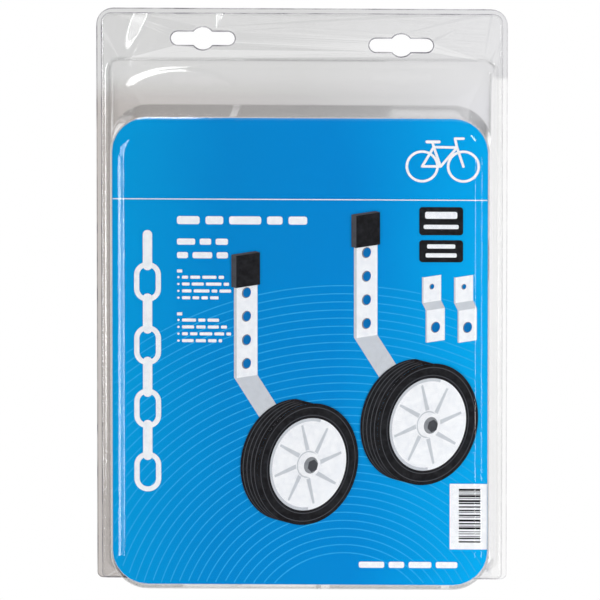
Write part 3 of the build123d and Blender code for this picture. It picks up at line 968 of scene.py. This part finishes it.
for hub in drawn_hubs:
    leg_out = -drawn_tyre_width - drawn_leg_gap
    upper_out = leg_out - drawn_leg_crank
    leg_runs = list(zip((leg_out, leg_out, upper_out, upper_out), drawn_leg_heights))
    draw_cranked_strip(hub, leg_runs, drawn_leg_half_width, drawn_leg_thickness)
    for number in range(drawn_hole_count):
        up = drawn_hole_first + drawn_hole_spacing * number
        draw_hole(hub, upper_out, up, drawn_hole_radius, drawn_hole_rim)

    cap_half = drawn_leg_half_width + drawn_cap_wall
    cap_thickness = drawn_leg_thickness + 2 * drawn_cap_wall
    cap_out = upper_out + drawn_cap_wall
    cap_back = cap_out - cap_thickness
    cap_runs = [(cap_out, drawn_cap_foot), (cap_out, drawn_cap_top)]
    fronts, sides = drawn_strip(hub, cap_runs, cap_half, cap_thickness)
    drawn["caps"] += fronts
    drawn["cap_edges"] += sides
    drawn["cap_edges"] += drawn_face(
        hub, (-cap_half, cap_out, drawn_cap_top), (cap_half, cap_out, drawn_cap_top),
        (cap_half, cap_back, drawn_cap_top), (-cap_half, cap_back, drawn_cap_top),
    )

    tyre_edge = (drawn_radius, 0)
    drawn["treads"] += drawn_band(hub, tyre_edge, (drawn_radius, -drawn_tyre_width), *drawn_tread_arc)
    for share in drawn_groove_shares:
        out = -drawn_tyre_width * share
        groove_edges = ((drawn_radius, out), (drawn_radius, out - drawn_groove_width))
        drawn["grooves"] += drawn_band(hub, *groove_edges, *drawn_groove_arc)
    drawn["tyres"] += drawn_disc(hub, *tyre_edge)
    for inner, outer in drawn_wall_line_shares:
        drawn["walls"] += drawn_band(hub, (drawn_radius * inner, 0), (drawn_radius * outer, 0))

    wheel_edge = (drawn_radius * drawn_wheel_share, 0)
    drawn["wheels"] += drawn_disc(hub, *wheel_edge)
    drawn["ridges"] += drawn_band(hub, wheel_edge, (drawn_radius * drawn_rim_share, 0), *drawn_rim_arc)
    for number in range(drawn_ridge_count):
        draw_ridge(hub, math.radians(360 / drawn_ridge_count * number + drawn_ridge_start))
    drawn["ridges"] += drawn_band(hub, (drawn_hub_radius, 0), (drawn_hub_shade_radius, 0))
    for name, fitting in drawn_fittings.items():
        drawn[name] += drawn_disc(hub, *fitting)
for foot in drawn_bracket_feet:
    draw_cranked_strip(foot, drawn_bracket_runs, drawn_bracket_half_width, drawn_bracket_thickness)
    for out, up, radius in drawn_bracket_holes:
        draw_hole(foot, out, up, radius, drawn_bracket_hole_rim)
for name, (layer, ink) in drawing_inks.items():
    printed(f"print_drawn_{name}", [drawn[name]], layer, ink)

# Floor, light and camera

floor_mesh = bpy.data.meshes.new("floor")
floor_points = [(x, y, floor_height) for x, y in disc(0, 0, floor_radius, floor_steps)[0]]
floor_mesh.from_pydata(floor_points, [], [list(range(len(floor_points)))])
floor_mesh.materials.append(floor_painted_white())
floor = bpy.data.objects.new("floor", floor_mesh)
floor.visible_glossy = False
scene.collection.objects.link(floor)


def softbox(name, place, target, size, glow, lights=True, mirrored=True):
    """Rectangular soft lamp that faces a target, whose face glows as a share of white.

    One that lights nothing only shows in the gloss, and one that isn't mirrored only lights.
    """
    lamp = bpy.data.lights.new(name, "AREA")
    lamp.shape = "RECTANGLE"
    lamp.size, lamp.size_y = size
    lamp.energy = glow * math.pi * size[0] * size[1]
    holder = bpy.data.objects.new(name, lamp)
    facing = (Vector(target) - Vector(place)).to_track_quat("-Z", "Y").to_matrix()
    holder.matrix_world = Matrix.Translation(place) @ facing.to_4x4()
    holder.visible_camera = False
    holder.visible_diffuse = lights
    holder.visible_glossy = mirrored
    scene.collection.objects.link(holder)


# Upright lamps in front, by azimuth and width in degrees, stand, and glow. The dome's rounded edges mirror
# them as upright lines. A wash only lights. A gleam only shows in the gloss, and most stand far off, where
# few views have a flat wall that mirrors them.
for name, azimuth, width, (distance, low, high), glow in (
    ("strip_far_left", -58, 15, near_stand, 9),
    ("wash_left", -35, 25, near_stand, 4.5),
    ("wash_near_left", -22, 4, near_stand, 8),
    ("wash_near_right", 21, 4, near_stand, 8),
    ("gleam_near_left", -22, 4, far_stand, 8),
    ("gleam_near_right", 21, 4, far_stand, 8),
    ("strip_far_right", 67, 4, near_stand, 8),
    ("gleam_left_high", -34, 24, near_high_stand, 5.5),
    ("gleam_left", -35, 14, far_middle_stand, 4),
    ("gleam_left_low", -35, 14, far_low_stand, 2),
    ("gleam_left_outer", -49, 4, far_tall_stand, 14),
    ("gleam_left_outer_low", -49, 4, far_low_stand, 7),
    ("gleam_left_inner", -25, 4, far_tall_stand, 11),
    ("gleam_left_inner_low", -25, 4, far_low_stand, 5),
):
    turn = math.radians(azimuth)
    height = (low + high) / 2
    place = (distance * math.sin(turn), -distance * math.cos(turn), height)
    size = (2 * distance * math.tan(math.radians(width / 2)), high - low)
    only_gleams = name.startswith("gleam")
    only_lights = name.startswith("wash")
    softbox(name, place, (0, 0, height), size, glow, lights=not only_gleams, mirrored=not only_lights)

# Larger lamps, by place, target, size and glow. First the main light at the right, with a gleam that stands
# in front of it so as not to be hidden, then what the shoulder and the flange mirror from above and behind,
# and last a light for the back.
softbox("softbox_right", (1.7, -1.5, 0.9), (0, 0, -0.13), (1.2, 1.2), 7, mirrored=False)
softbox("gleam_right", (1.6, -1.41, 0.84), (0, 0, -0.13), (0.5, 0.5), 12, lights=False)
softbox("softbox_top", (-0.42, 1.055, 1.034), (-0.42, -0.015, -0.017), (0.67, 0.37), 9)
softbox("softbox_behind", (0.32, 1.5, 0.43), (0.32, 0, -0.02), (0.6, 0.3), 0.9)
softbox("softbox_ceiling", (0.2, 0.91, 1.165), (0.2, 0, -0.01), (1.3, 0.9), 0.5)
softbox("softbox_behind_low", (0.38, 1.35, -0.54), (-0.1, 0, -0.15), (0.3, 0.5), 0.4)
softbox("softbox_back", (-0.6, 1.6, 0.4), (0, 0, -0.13), (1.0, 0.8), 6, mirrored=False)

# White backdrop behind the object in a dim room. Mirrors see it as it lies, and the eye sees white all round.
world = bpy.data.worlds.new("white_studio")
scene.world = world
world.use_nodes = True
sky = world.node_tree
sky.nodes.clear()
direction = add(sky, "ShaderNodeTexCoord").outputs["Generated"]
towards_backdrop = add(
    sky, "ShaderNodeVectorMath", {0: direction, 1: backdrop_way}, operation="DOT_PRODUCT"
).outputs["Value"]
on_backdrop = add(sky, "ShaderNodeMapRange", {0: towards_backdrop, 1: backdrop_end, 2: backdrop_full})
camera_ray = add(sky, "ShaderNodeLightPath").outputs["Is Camera Ray"]
white_share = add(sky, "ShaderNodeMath", {0: on_backdrop, 1: camera_ray}, operation="MAXIMUM")
room = add(
    sky, "ShaderNodeMix", {0: white_share, 6: linear(room_grey), 7: linear("#FFFFFF")}, data_type="RGBA"
).outputs[2]
fill = add(sky, "ShaderNodeBackground", {"Color": linear("#FFFFFF"), "Strength": room_light})
seen = add(sky, "ShaderNodeBackground", {"Color": room, "Strength": 1.0})
mixed = add(sky, "ShaderNodeMixShader", {0: seen_share(sky, 1.0), 1: fill, 2: seen})
add(sky, "ShaderNodeOutputWorld", {"Surface": mixed})

# Camera a little to the right and above, on the middle of the card
turn = math.radians(camera_azimuth)
rise = math.radians(camera_elevation)
camera_way = Vector((math.sin(turn) * math.cos(rise), -math.cos(turn) * math.cos(rise), math.sin(rise)))
camera_target = Vector((0, card_low.y, camera_target_height))
camera = bpy.data.objects.new("camera", bpy.data.cameras.new("camera"))
camera.data.lens = camera_lens
camera.data.sensor_width = camera_sensor_width
camera.data.clip_end = camera_reach
camera.location = camera_target + camera_way * camera_distance
camera.rotation_euler = (-camera_way).to_track_quat("-Z", "Y").to_euler()
scene.collection.objects.link(camera)
scene.camera = camera
scene.view_settings.view_transform = "Standard"
scene.cycles.transparent_max_bounces = clear_face_limit
